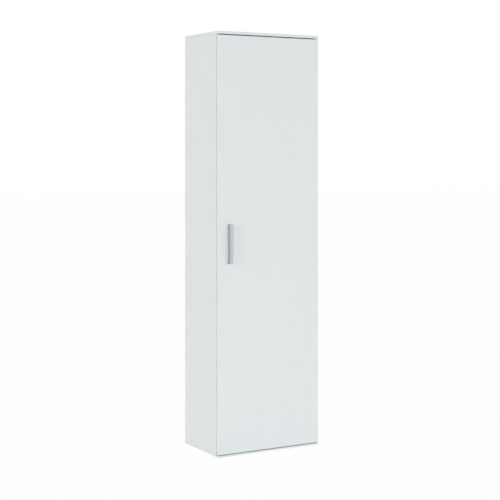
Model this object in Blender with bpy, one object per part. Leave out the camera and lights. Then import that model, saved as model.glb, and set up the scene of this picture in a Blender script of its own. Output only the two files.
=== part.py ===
"""Tall single-door wardrobe cabinet, as a kit of separate pieces.

A flat-pack cabinet of melamine-faced board.  Top and base run out to the door's face, and the door
lies between them, over the front edges of both sides.  The door hangs on four concealed cup hinges at the
right: each has a cup let into the door, a knuckle pin across the cup, a gooseneck arm that folds into the
cup round the side's front edge, and a mounting plate on the side.  Inside are a hat shelf on four pins and
a front-to-back hanging rail.  Metres, +Z up, +X to the right, the front faces -Y.  The origin is on the
floor, in the middle of the whole cabinet with its handle.
"""

import math

import bmesh
import bpy
from mathutils import Matrix, Vector

MM = 0.001

# How far a cutter runs past a face, how far joined shapes reach into each other, and how near two points
# of a turned shape are one
CUT_PAST = 1 * MM
UNION_LAP = 0.5 * MM
MERGE_DISTANCE = 0.02 * MM

# Cabinet
WIDTH = 500 * MM
HEIGHT = 1800 * MM
CABINET_DEPTH = 310 * MM
BOARD = 16 * MM
TOP_THICKNESS = 12 * MM
EDGE_CHAMFER = 0.3 * MM
SEAT_GAP = 0.3 * MM

# Door
DOOR_THICKNESS = 16 * MM
DOOR_TOP_GAP = 4 * MM
DOOR_BOTTOM_GAP = 3 * MM
DOOR_STAND_OFF = 2.3 * MM
DOOR_SIDE_REVEAL = 1.5 * MM
DOOR_EDGE_RADIUS = 2 * MM
BASE_LIP_HEIGHT = 6.5 * MM

# Back
BACK_THICKNESS = 3 * MM
BACK_INSET = 10 * MM
GROOVE_DEPTH = 6 * MM

# Handle
HANDLE_LENGTH = 167 * MM
HANDLE_WIDTH = 16 * MM
HANDLE_THICKNESS = 4 * MM
HANDLE_LEG = 7 * MM
HANDLE_STAND_OFF = 21 * MM
HANDLE_FROM_EDGE = 55 * MM
HANDLE_CENTRE_HEIGHT = 900 * MM
HANDLE_OUTER_BEND = 16 * MM
HANDLE_INNER_BEND = 7 * MM
HANDLE_EDGE_CHAMFER = 0.6 * MM
HANDLE_SCREW_RADIUS = 2 * MM
HANDLE_SCREW_BITE = 8 * MM
HANDLE_SCREW_HEAD_RADIUS = 4.5 * MM
HANDLE_SCREW_CROWN_RADIUS = 3.4 * MM
HANDLE_SCREW_HEAD_HEIGHT = 2.2 * MM
HANDLE_SCREW_END_CLEARANCE = 1 * MM

# Glides
GLIDE_HEIGHT = 2.5 * MM
GLIDE_RADIUS = 10 * MM
GLIDE_PIN_RADIUS = 2.5 * MM
GLIDE_PIN_LENGTH = 8 * MM
GLIDE_PIN_TIP = 2 * MM
GLIDE_CHAMFER = 0.6 * MM
GLIDE_FROM_EDGE = 22 * MM

# Hat shelf and its pins
SHELF_TOP_HEIGHT = 1500 * MM
SHELF_SIDE_CLEARANCE = 0.7 * MM
SHELF_FRONT_SETBACK = 8 * MM
SHELF_BACK_CLEARANCE = 1 * MM
PIN_RADIUS = 2.5 * MM
PIN_BITE = 8 * MM
PIN_REACH = 9 * MM
PIN_FROM_EDGE = 37 * MM
PIN_PITCH = 32 * MM
PIN_ROWS_BELOW = 1
PIN_ROWS_ABOVE = 1

# Hanging rail
RAIL_WIDTH = 15 * MM
RAIL_HEIGHT = 30 * MM
RAIL_WALL = 1.2 * MM
RAIL_DROP = 52 * MM
RAIL_SOCKET_WALL = 2 * MM
RAIL_SOCKET_DEPTH = 12 * MM
RAIL_PLATE_THICKNESS = 2 * MM
RAIL_PLATE_WIDTH = 38 * MM
RAIL_PLATE_DEPTH = 20 * MM
RAIL_STEM_WIDTH = 16 * MM
RAIL_STEM_DEPTH = 9.6 * MM

# Cam fittings
CAM_RADIUS = 7.5 * MM
CAM_DEPTH = 12.2 * MM
CAM_FROM_END = 34 * MM
CAM_FRONT_INSET = 50 * MM
CAM_BACK_INSET = 60 * MM
CAM_SLOT_WIDTH = 1.6 * MM
CAM_SLOT_DEPTH = 1.5 * MM
CAM_SLOT_REACH = 5.2 * MM
BOLT_THREAD_RADIUS = 3 * MM
BOLT_THREAD_LENGTH = 9 * MM
BOLT_SHANK_RADIUS = 3 * MM
BOLT_NECK_RADIUS = 1.8 * MM
BOLT_NECK_LENGTH = 4 * MM
BOLT_HEAD_RADIUS = 3.2 * MM
BOLT_HEAD_LENGTH = 3 * MM

# Concealed hinges.  "In" is measured from the side's inner face towards the middle of the cabinet and
# "out" from the side's front edge towards the front.
HINGE_COUNT = 4
HINGE_FROM_DOOR_END = 98 * MM
PIVOT_FROM_CUP_EDGE = 4.4 * MM
KNUCKLE_FLOOR_CLEARANCE = 0.4 * MM
CUP_RADIUS = 17.5 * MM
CUP_WALL = 1.1 * MM
CUP_DEPTH = 12.7 * MM
CUP_BOTTOM = 1 * MM
CUP_BOTTOM_CHAMFER = 0.8 * MM
CUP_FROM_DOOR_EDGE = 3 * MM
FLANGE_THICKNESS = 0.7 * MM
RIM_PROUD = 0.15 * MM
WING_HALF_LENGTH = 29 * MM
WING_HALF_WIDTH = 8 * MM
WING_CORNER_RADIUS = 5.6 * MM
WING_HOLE_SPACING = 45 * MM
WING_HOLE_RADIUS = 2.2 * MM
KNUCKLE_RADIUS = 2.5 * MM
KNUCKLE_HALF_WIDTH = 3.5 * MM
KNUCKLE_PIN_RADIUS = 1.2 * MM
KNUCKLE_PIN_HALF_LENGTH = 6.2 * MM
PIN_RUNNING_GAP = 0.3 * MM
CHEEK_CLEARANCE = 0.5 * MM
CHEEK_RADIUS = 2.9 * MM
CHEEK_THICKNESS = 2.4 * MM
ARM_THICKNESS = 2 * MM
ARM_NECK_IN = 5.3 * MM
ARM_NOSE_DROP = 0.5 * MM
ARM_BEND_RADIUS = 2.4 * MM
ARM_HALF_WIDTH = 6 * MM
ARM_TAPER_START_OUT = 6 * MM
ARM_TAPER_END_OUT = -8 * MM
ARM_RAMP_START_OUT = -5 * MM
ARM_RAMP_END_OUT = -13 * MM
ARM_LAP_END_OUT = -23 * MM
CHANNEL_TOP_IN = 14.5 * MM
CHANNEL_TOP_THICKNESS = 2.4 * MM
CHANNEL_WALL = 1.4 * MM
CHANNEL_HALF_WIDTH = 7.6 * MM
CHANNEL_FRONT_OUT = -17 * MM
CHANNEL_BACK_OUT = -64 * MM
CHANNEL_EDGE_IN = 3.5 * MM
CHANNEL_NOSE_RISE = 3 * MM
CHANNEL_NOSE_LENGTH = 5 * MM
PLATE_THICKNESS = 2.2 * MM
PLATE_SCREW_LINE_OUT = -37 * MM
PLATE_HALF_LENGTH = 23 * MM
PLATE_WING_HALF_WIDTH = 8 * MM
PLATE_CORNER_RADIUS = 4.8 * MM
PLATE_HOLE_SPACING = 32 * MM
PLATE_HOLE_RADIUS = 2.6 * MM
RIDGE_SIDE_CLEARANCE = 0.6 * MM
RIDGE_FRONT_OUT = -22 * MM
RIDGE_BACK_OUT = -60 * MM
RIDGE_TOP_CLEARANCE = 0.4 * MM
ADJUSTER_RADIUS = 2.6 * MM
ADJUSTER_RECESS = 1 * MM
ADJUSTER_FROM_END = 9 * MM

# Door bumpers
BUMPER_RADIUS = 4 * MM
BUMPER_CROWN_RADIUS = 2.8 * MM
BUMPER_CROWN_DROP = 0.25 * MM
BUMPER_RIM_HEIGHT = 0.9 * MM
BUMPER_FROM_END = 40 * MM

# Wall bracket
BRACKET_THICKNESS = 2 * MM
BRACKET_LEG = 34 * MM
BRACKET_WIDTH = 20 * MM
BRACKET_HOLE_RADIUS = 2.5 * MM
BRACKET_HOLE_FROM_TIP = 10 * MM

# Number of sides of round pieces by size, and of steps in a bend, a half round and a rounded corner
SIDES_LARGE = 32
SIDES_MEDIUM = 20
SIDES_SMALL = 12
BEND_STEPS = 4
HANDLE_BEND_STEPS = 8
HALF_ROUND_STEPS = 6
CORNER_STEPS = 3
DOOR_EDGE_STEPS = 2
SMOOTH_ANGLE = math.radians(35)

# Colours, roughness and metallic value of each finish
FINISHES = {
    "white_melamine": ((0.80, 0.82, 0.83), 0.38, 0.0),
    "white_hdf": ((0.78, 0.79, 0.79), 0.55, 0.0),
    "handle_satin": ((0.58, 0.60, 0.61), 0.34, 1.0),
    "hinge_nickel": ((0.66, 0.66, 0.64), 0.28, 1.0),
    "rail_chrome": ((0.78, 0.78, 0.79), 0.12, 1.0),
    "cast_zinc": ((0.58, 0.58, 0.58), 0.42, 1.0),
    "bolt_steel": ((0.62, 0.62, 0.60), 0.36, 1.0),
    "white_plastic": ((0.82, 0.83, 0.83), 0.45, 0.0),
    "clear_rubber": ((0.70, 0.72, 0.72), 0.50, 0.0),
    "bracket_zinc": ((0.64, 0.65, 0.66), 0.40, 1.0),
}

# Places worked out from the sizes above
TOTAL_DEPTH = CABINET_DEPTH + HANDLE_STAND_OFF
FRONT_Y = -TOTAL_DEPTH / 2 + HANDLE_STAND_OFF
BACK_Y = FRONT_Y + CABINET_DEPTH
DOOR_BACK_Y = FRONT_Y + DOOR_THICKNESS
SIDE_FRONT_Y = DOOR_BACK_Y + DOOR_STAND_OFF
LEFT_X = -WIDTH / 2
RIGHT_X = WIDTH / 2
LEFT_INNER_X = LEFT_X + BOARD
RIGHT_INNER_X = RIGHT_X - BOARD
BASE_BOTTOM_Z = GLIDE_HEIGHT + SEAT_GAP
BASE_TOP_Z = BASE_BOTTOM_Z + BOARD
LIP_TOP_Z = BASE_BOTTOM_Z + BASE_LIP_HEIGHT
TOP_BOTTOM_Z = HEIGHT - TOP_THICKNESS
SIDE_BOTTOM_Z = BASE_TOP_Z + SEAT_GAP
SIDE_TOP_Z = TOP_BOTTOM_Z - SEAT_GAP
DOOR_BOTTOM_Z = LIP_TOP_Z + DOOR_BOTTOM_GAP
DOOR_TOP_Z = TOP_BOTTOM_Z - DOOR_TOP_GAP
DOOR_LEFT_X = LEFT_X + DOOR_SIDE_REVEAL
DOOR_RIGHT_X = RIGHT_X - DOOR_SIDE_REVEAL
BACK_FRONT_Y = BACK_Y - BACK_INSET - BACK_THICKNESS
BACK_REAR_Y = BACK_Y - BACK_INSET
CUP_EDGE_X = DOOR_RIGHT_X - CUP_FROM_DOOR_EDGE
CUP_CENTRE_X = CUP_EDGE_X - CUP_RADIUS
CUP_FLOOR_OUT = DOOR_STAND_OFF + CUP_DEPTH - CUP_BOTTOM
PIVOT_X = CUP_EDGE_X - PIVOT_FROM_CUP_EDGE
PIVOT_IN = RIGHT_INNER_X - PIVOT_X
PIVOT_OUT = CUP_FLOOR_OUT - KNUCKLE_FLOOR_CLEARANCE - KNUCKLE_RADIUS
PIVOT_Y = SIDE_FRONT_Y - PIVOT_OUT
ARM_NOSE_OUT = PIVOT_OUT - ARM_NOSE_DROP
RIDGE_HALF_WIDTH = CHANNEL_HALF_WIDTH - CHANNEL_WALL - RIDGE_SIDE_CLEARANCE
CAM_YS = (SIDE_FRONT_Y + CAM_FRONT_INSET, BACK_FRONT_Y - CAM_BACK_INSET)
PIN_YS = (SIDE_FRONT_Y + PIN_FROM_EDGE, BACK_FRONT_Y - PIN_FROM_EDGE)
SHELF_BOTTOM_Z = SHELF_TOP_HEIGHT - BOARD
PIN_Z = SHELF_BOTTOM_Z - SEAT_GAP - PIN_RADIUS


def clear_scene():
    for obj in list(bpy.data.objects):
        bpy.data.objects.remove(obj, do_unlink=True)


def finish(name):
    """A material of one of the finishes, made for one piece."""
    colour, roughness, metallic = FINISHES[name]
    material = bpy.data.materials.new(name)
    material.use_nodes = True
    shader = material.node_tree.nodes["Principled BSDF"]
    shader.inputs["Base Color"].default_value = (*colour, 1.0)
    shader.inputs["Roughness"].default_value = roughness
    shader.inputs["Metallic"].default_value = metallic
    material.diffuse_color = (*colour, 1.0)
    return material


def mesh_object(name, bm, finish_name=None, smooth=False):
    """An object of a finished bmesh.  Without a finish it is a helper for a Boolean and isn't rendered."""
    bmesh.ops.recalc_face_normals(bm, faces=bm.faces)
    mesh = bpy.data.meshes.new(name)
    bm.to_mesh(mesh)
    bm.free()
    obj = bpy.data.objects.new(name, mesh)
    bpy.context.scene.collection.objects.link(obj)
    if finish_name is None:
        obj.hide_render = True
        obj.display_type = "WIRE"
        return obj
    mesh.materials.append(finish(finish_name))
    if smooth:
        mesh.shade_smooth()
        mesh.set_sharp_from_angle(angle=SMOOTH_ANGLE)
    return obj


def add_box(bm, low, high):
    """A box between two corners, returned as its vertices."""
    size = Vector(high) - Vector(low)
    middle = (Vector(high) + Vector(low)) / 2
    matrix = Matrix.Translation(middle) @ Matrix.Diagonal((*size, 1.0))
    return bmesh.ops.create_cube(bm, size=1.0, matrix=matrix)["verts"]


def box_bm(low, high, chamfer=0.0, segments=1):
    bm = bmesh.new()
    add_box(bm, low, high)
    if chamfer > 0:
        bevel_edges(bm, list(bm.edges), chamfer, segments)
    return bm


def edges_along(bm, axis):
    """The edges that run along one of the axes, given by its index."""
    chosen = []
    for edge in bm.edges:
        span = edge.verts[1].co - edge.verts[0].co
        if abs(span[axis]) > span.length / 2:
            chosen.append(edge)
    return chosen


def bevel_edges(bm, edges, width, segments):
    bmesh.ops.bevel(
        bm,
        geom=edges,
        offset=width,
        offset_type="OFFSET",
        segments=segments,
        profile=0.5,
        affect="EDGES",
        clamp_overlap=True,
        material=-1,
    )


AXIS_TURN = {
    "x": Matrix.Rotation(math.radians(90), 4, "Y"),
    "y": Matrix.Rotation(math.radians(-90), 4, "X"),
    "z": Matrix.Identity(4),
}


def add_cylinder(bm, start, axis, radius, length, sides):
    """A cylinder that starts at a point and runs along +X, +Y or +Z."""
    turn = AXIS_TURN[axis]
    along = turn @ Vector((0, 0, length / 2))
    matrix = Matrix.Translation(Vector(start) + along) @ turn
    bmesh.ops.create_cone(
        bm,
        cap_ends=True,
        cap_tris=False,
        segments=sides,
        radius1=radius,
        radius2=radius,
        depth=length,
        matrix=matrix,
    )


def turned_bm(profile, sides, matrix):
    """A turned solid: (radius, height) points from one end on the axis to the other, spun about +Z."""
    bm = bmesh.new()
    verts = [bm.verts.new((radius, 0, height)) for radius, height in profile]
    edges = [bm.edges.new(pair) for pair in zip(verts, verts[1:])]
    bmesh.ops.spin(
        bm,
        geom=verts + edges,
        cent=(0, 0, 0),
        axis=(0, 0, 1),
        angle=math.tau,
        steps=sides,
        use_merge=True,
        use_duplicate=False,
    )
    bmesh.ops.remove_doubles(bm, verts=bm.verts, dist=MERGE_DISTANCE)
    bmesh.ops.transform(bm, matrix=matrix, verts=bm.verts)
    return bm


def prism_bm(outline, place, low, high):
    """An outline extruded between two levels; place turns (a, b, level) into a point."""
    bm = bmesh.new()
    verts = [bm.verts.new(place(a, b, low)) for a, b in outline]
    face = bm.faces.new(verts)
    made = bmesh.ops.extrude_face_region(bm, geom=[face])["geom"]
    shift = place(0, 0, high) - place(0, 0, low)
    moved = [item for item in made if isinstance(item, bmesh.types.BMVert)]
    bmesh.ops.translate(bm, vec=shift, verts=moved)
    return bm


def boolean(obj, operation, bm):
    """Adds or cuts a helper shape with a Boolean modifier."""
    helper = mesh_object(obj.name + "_" + operation.lower(), bm)
    modifier = obj.modifiers.new(operation.title(), "BOOLEAN")
    modifier.operation = operation
    modifier.solver = "EXACT"
    modifier.object = helper


def rounded_path(points, radius, steps):
    """The points of an open path whose inner corners are rounded."""
    path = [points[0]]
    for before, corner, after in zip(points, points[1:], points[2:]):
        to_before = (before - corner).normalized()
        to_after = (after - corner).normalized()
        half_angle = to_before.angle(to_after) / 2
        reach = radius / math.tan(half_angle)
        middle = corner + (to_before + to_after).normalized() * (radius / math.sin(half_angle))
        start = corner + to_before * reach - middle
        end = corner + to_after * reach - middle
        first = math.atan2(start.y, start.x)
        turn = math.atan2(start.x * end.y - start.y * end.x, start.dot(end))
        for step in range(steps + 1):
            angle = first + turn * step / steps
            path.append(middle + Vector((math.cos(angle), math.sin(angle))) * radius)
    path.append(points[-1])
    return path


def ribbon(path, thickness):
    """The outline of a strip of even thickness along a path."""
    left = []
    right = []
    for index, point in enumerate(path):
        before = path[max(index - 1, 0)]
        after = path[min(index + 1, len(path) - 1)]
        direction = (after - before).normalized()
        normal = Vector((-direction.y, direction.x))
        left.append(point + normal * thickness / 2)
        right.append(point - normal * thickness / 2)
    return left + right[::-1]


def hinge_heights():
    lowest = DOOR_BOTTOM_Z + HINGE_FROM_DOOR_END
    highest = DOOR_TOP_Z - HINGE_FROM_DOOR_END
    step = (highest - lowest) / (HINGE_COUNT - 1)
    return [lowest + step * index for index in range(HINGE_COUNT)]


def hinge_place(height):
    """Turns hinge measures (in, out, up) into a point, for the hinge at one height."""
    return lambda inward, outward, up: Vector(
        (RIGHT_INNER_X - inward, SIDE_FRONT_Y - outward, height + up)
    )


def cam_corners():
    """Name, side, whether at the top, and depth of each cam fitting."""
    for side, sign in (("left", -1), ("right", 1)):
        for end, is_top in (("top", True), ("base", False)):
            for place, y in zip(("front", "back"), CAM_YS):
                yield f"{end}_{side}_{place}", sign, is_top, y


def cam_axis_z(is_top):
    return SIDE_TOP_Z - CAM_FROM_END if is_top else SIDE_BOTTOM_Z + CAM_FROM_END


def make_side(name, sign):
    """One side board, with its groove, cam bores and shelf pin holes."""
    outer_x = sign * WIDTH / 2
    inner_x = outer_x - sign * BOARD
    low_x, high_x = sorted((outer_x, inner_x))
    low = (low_x, SIDE_FRONT_Y, SIDE_BOTTOM_Z)
    high = (high_x, BACK_Y, SIDE_TOP_Z)
    side = mesh_object(name, box_bm(low, high, EDGE_CHAMFER), "white_melamine")
    holes = bmesh.new()
    groove_bottom = inner_x + sign * GROOVE_DEPTH
    groove_mouth = inner_x - sign * CUT_PAST
    groove_xs = sorted((groove_bottom, groove_mouth))
    add_box(
        holes,
        (groove_xs[0], BACK_FRONT_Y - SEAT_GAP, SIDE_BOTTOM_Z - CUT_PAST),
        (groove_xs[1], BACK_REAR_Y + SEAT_GAP, SIDE_TOP_Z + CUT_PAST),
    )
    boolean(side, "DIFFERENCE", holes)
    cam_holes = bmesh.new()
    bore_depth = CAM_DEPTH + SEAT_GAP
    length = bore_depth + CUT_PAST
    for _, cam_sign, is_top, y in cam_corners():
        if cam_sign != sign:
            continue
        start_x = inner_x - CUT_PAST if sign > 0 else inner_x - bore_depth
        start = (start_x, y, cam_axis_z(is_top))
        add_cylinder(cam_holes, start, "x", CAM_RADIUS + SEAT_GAP, length, SIDES_MEDIUM)
    boolean(side, "DIFFERENCE", cam_holes)
    bolt_holes = bmesh.new()
    bolt_x = outer_x - sign * BOARD / 2
    length = CAM_FROM_END + CUT_PAST
    for _, cam_sign, is_top, y in cam_corners():
        if cam_sign != sign:
            continue
        z = cam_axis_z(is_top)
        start = (bolt_x, y, z if is_top else z - length)
        add_cylinder(bolt_holes, start, "z", BOLT_HEAD_RADIUS + 2 * SEAT_GAP, length, SIDES_SMALL)
    boolean(side, "DIFFERENCE", bolt_holes)
    pin_holes = bmesh.new()
    depth = PIN_BITE + SEAT_GAP
    length = depth + CUT_PAST
    for y in PIN_YS:
        for row in range(-PIN_ROWS_BELOW, PIN_ROWS_ABOVE + 1):
            start_x = inner_x - CUT_PAST if sign > 0 else inner_x - depth
            start = (start_x, y, PIN_Z + row * PIN_PITCH)
            add_cylinder(pin_holes, start, "x", PIN_RADIUS + SEAT_GAP, length, SIDES_SMALL)
    boolean(side, "DIFFERENCE", pin_holes)


def bolt_bores(is_top):
    """The blind bores in the top or base that the cam bolts screw into."""
    bm = bmesh.new()
    depth = BOLT_THREAD_LENGTH + SEAT_GAP
    for _, sign, at_top, y in cam_corners():
        if at_top != is_top:
            continue
        x = sign * (WIDTH / 2 - BOARD / 2)
        start = (x, y, TOP_BOTTOM_Z - CUT_PAST if is_top else BASE_TOP_Z - depth)
        length = depth + CUT_PAST
        add_cylinder(bm, start, "z", BOLT_THREAD_RADIUS + SEAT_GAP, length, SIDES_SMALL)
    return bm


def back_groove(low_z, high_z):
    """The groove across the top or base that takes the back's edge."""
    bm = bmesh.new()
    reach = WIDTH / 2 - BOARD + GROOVE_DEPTH
    add_box(
        bm,
        (-reach, BACK_FRONT_Y - SEAT_GAP, low_z),
        (reach, BACK_REAR_Y + SEAT_GAP, high_z),
    )
    return bm


def make_top():
    """The top board, which reaches to the door's face."""
    low = (LEFT_X, FRONT_Y, TOP_BOTTOM_Z)
    high = (RIGHT_X, BACK_Y, HEIGHT)
    top = mesh_object("top_panel", box_bm(low, high, EDGE_CHAMFER), "white_melamine")
    boolean(top, "DIFFERENCE", back_groove(TOP_BOTTOM_Z - CUT_PAST, TOP_BOTTOM_Z + GROOVE_DEPTH))
    boolean(top, "DIFFERENCE", bolt_bores(True))


def glide_places():
    """Name and centre of each floor glide."""
    for side, x in (("left", LEFT_X + GLIDE_FROM_EDGE), ("right", RIGHT_X - GLIDE_FROM_EDGE)):
        for place, y in (("front", FRONT_Y + GLIDE_FROM_EDGE), ("back", BACK_Y - GLIDE_FROM_EDGE)):
            yield f"{side}_{place}", x, y


def make_base():
    """The base board.  Its front edge is stepped: a low lip runs out under the door to the door's face."""
    outline = (
        (FRONT_Y, BASE_BOTTOM_Z),
        (BACK_Y, BASE_BOTTOM_Z),
        (BACK_Y, BASE_TOP_Z),
        (SIDE_FRONT_Y, BASE_TOP_Z),
        (SIDE_FRONT_Y, LIP_TOP_Z),
        (FRONT_Y, LIP_TOP_Z),
    )
    bm = prism_bm(outline, lambda y, z, x: Vector((x, y, z)), LEFT_X, RIGHT_X)
    bevel_edges(bm, list(bm.edges), EDGE_CHAMFER, 1)
    base = mesh_object("base_panel", bm, "white_melamine")
    boolean(base, "DIFFERENCE", back_groove(BASE_TOP_Z - GROOVE_DEPTH, BASE_TOP_Z + CUT_PAST))
    boolean(base, "DIFFERENCE", bolt_bores(False))
    pins = bmesh.new()
    for _, x, y in glide_places():
        start = (x, y, BASE_BOTTOM_Z - CUT_PAST)
        length = CUT_PAST + GLIDE_PIN_LENGTH
        add_cylinder(pins, start, "z", GLIDE_PIN_RADIUS + SEAT_GAP, length, SIDES_SMALL)
    boolean(base, "DIFFERENCE", pins)


def wall_screw_z():
    """Height of the screw that holds the cabinet to the wall."""
    return TOP_BOTTOM_Z - BRACKET_LEG + BRACKET_HOLE_FROM_TIP


def make_back():
    """The thin back board, held in grooves all round."""
    reach = WIDTH / 2 - BOARD + GROOVE_DEPTH - SEAT_GAP
    low = (-reach, BACK_FRONT_Y, BASE_TOP_Z - GROOVE_DEPTH + SEAT_GAP)
    high = (reach, BACK_REAR_Y, TOP_BOTTOM_Z + GROOVE_DEPTH - SEAT_GAP)
    back = mesh_object("back_panel", box_bm(low, high), "white_hdf")
    hole = bmesh.new()
    start = (0, BACK_FRONT_Y - CUT_PAST, wall_screw_z())
    length = BACK_THICKNESS + 2 * CUT_PAST
    add_cylinder(hole, start, "y", BRACKET_HOLE_RADIUS, length, SIDES_SMALL)
    boolean(back, "DIFFERENCE", hole)


def make_shelf():
    """The hat shelf, resting on its pins."""
    half = WIDTH / 2 - BOARD - SHELF_SIDE_CLEARANCE
    low = (-half, SIDE_FRONT_Y + SHELF_FRONT_SETBACK, SHELF_BOTTOM_Z)
    high = (half, BACK_FRONT_Y - SHELF_BACK_CLEARANCE, SHELF_TOP_HEIGHT)
    mesh_object("hat_shelf", box_bm(low, high, EDGE_CHAMFER), "white_melamine")


def make_shelf_pins():
    """Plain pins that the shelf rests on."""
    profile = (
        (0, -PIN_BITE),
        (PIN_RADIUS, -PIN_BITE),
        (PIN_RADIUS, PIN_REACH),
        (0, PIN_REACH),
    )
    for side, x, turn in (
        ("left", LEFT_INNER_X, math.radians(90)),
        ("right", RIGHT_INNER_X, math.radians(-90)),
    ):
        for place, y in zip(("front", "back"), PIN_YS):
            matrix = Matrix.Translation((x, y, PIN_Z)) @ Matrix.Rotation(turn, 4, "Y")
            bm = turned_bm(profile, SIDES_SMALL, matrix)
            mesh_object(f"shelf_pin_{side}_{place}", bm, "bolt_steel", smooth=True)


def rail_middle_z():
    return SHELF_BOTTOM_Z - RAIL_DROP


def oval_outline(width, height):
    """A flat oval, higher than it is wide, as (x, z) points round its middle."""
    radius = width / 2
    straight = height / 2 - radius
    points = []
    for centre, start in ((straight, 0.0), (-straight, math.pi)):
        for step in range(HALF_ROUND_STEPS + 1):
            angle = start + math.pi * step / HALF_ROUND_STEPS
            points.append((radius * math.cos(angle), centre + radius * math.sin(angle)))
    return points


def rail_ends():
    """Depths of the ends of the room for the rail, between the closed ends of its sockets."""
    front = SIDE_FRONT_Y + SHELF_FRONT_SETBACK + RAIL_SOCKET_WALL
    back = BACK_FRONT_Y - SHELF_BACK_CLEARANCE - RAIL_SOCKET_WALL
    return front, back


def make_rail():
    """The oval tube that hangers slide along, from front to back."""
    front, back = rail_ends()
    z = rail_middle_z()

    def place(x, up, y):
        return Vector((x, y, z + up))

    outer = prism_bm(
        oval_outline(RAIL_WIDTH, RAIL_HEIGHT), place, front + SEAT_GAP, back - SEAT_GAP
    )
    rail = mesh_object("hanging_rail", outer, "rail_chrome", smooth=True)
    inner = oval_outline(RAIL_WIDTH - 2 * RAIL_WALL, RAIL_HEIGHT - 2 * RAIL_WALL)
    boolean(rail, "DIFFERENCE", prism_bm(inner, place, front - CUT_PAST, back + CUT_PAST))


def make_rail_bracket(name, end_y, inward):
    """A cast bracket: a foot under the shelf, a stem and a socket round the rail's end."""
    z = rail_middle_z()
    wall = RAIL_SOCKET_WALL
    ys = sorted((end_y - inward * wall, end_y + inward * RAIL_SOCKET_DEPTH))

    def place(x, up, y):
        return Vector((x, y, z + up))

    socket = oval_outline(RAIL_WIDTH + 2 * wall, RAIL_HEIGHT + 2 * wall)
    bracket = mesh_object(name, prism_bm(socket, place, ys[0], ys[1]), "cast_zinc", smooth=True)
    stem = bmesh.new()
    foot_top = SHELF_BOTTOM_Z - SEAT_GAP
    stem_ys = sorted((end_y - inward * UNION_LAP, end_y + inward * RAIL_STEM_DEPTH))
    add_box(
        stem,
        (-RAIL_STEM_WIDTH / 2, stem_ys[0], z + RAIL_HEIGHT / 2),
        (RAIL_STEM_WIDTH / 2, stem_ys[1], foot_top - RAIL_PLATE_THICKNESS + UNION_LAP),
    )
    boolean(bracket, "UNION", stem)
    foot = bmesh.new()
    foot_ys = sorted((end_y - inward * wall, end_y + inward * (RAIL_PLATE_DEPTH - wall)))
    add_box(
        foot,
        (-RAIL_PLATE_WIDTH / 2, foot_ys[0], foot_top - RAIL_PLATE_THICKNESS),
        (RAIL_PLATE_WIDTH / 2, foot_ys[1], foot_top),
    )
    boolean(bracket, "UNION", foot)
    hollow = oval_outline(RAIL_WIDTH + 2 * SEAT_GAP, RAIL_HEIGHT + 2 * SEAT_GAP)
    hollow_ys = sorted((end_y, end_y + inward * (RAIL_SOCKET_DEPTH + CUT_PAST)))
    boolean(bracket, "DIFFERENCE", prism_bm(hollow, place, hollow_ys[0], hollow_ys[1]))


def make_glides():
    """Nail-in floor glides under the base's corners."""
    profile = (
        (0, 0),
        (GLIDE_RADIUS - GLIDE_CHAMFER, 0),
        (GLIDE_RADIUS, GLIDE_CHAMFER),
        (GLIDE_RADIUS, GLIDE_HEIGHT),
        (GLIDE_PIN_RADIUS, GLIDE_HEIGHT),
        (GLIDE_PIN_RADIUS, GLIDE_HEIGHT + GLIDE_PIN_LENGTH - GLIDE_PIN_TIP),
        (0, GLIDE_HEIGHT + GLIDE_PIN_LENGTH),
    )
    for name, x, y in glide_places():
        bm = turned_bm(profile, SIDES_MEDIUM, Matrix.Translation((x, y, 0)))
        mesh_object("glide_" + name, bm, "white_plastic", smooth=True)


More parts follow.
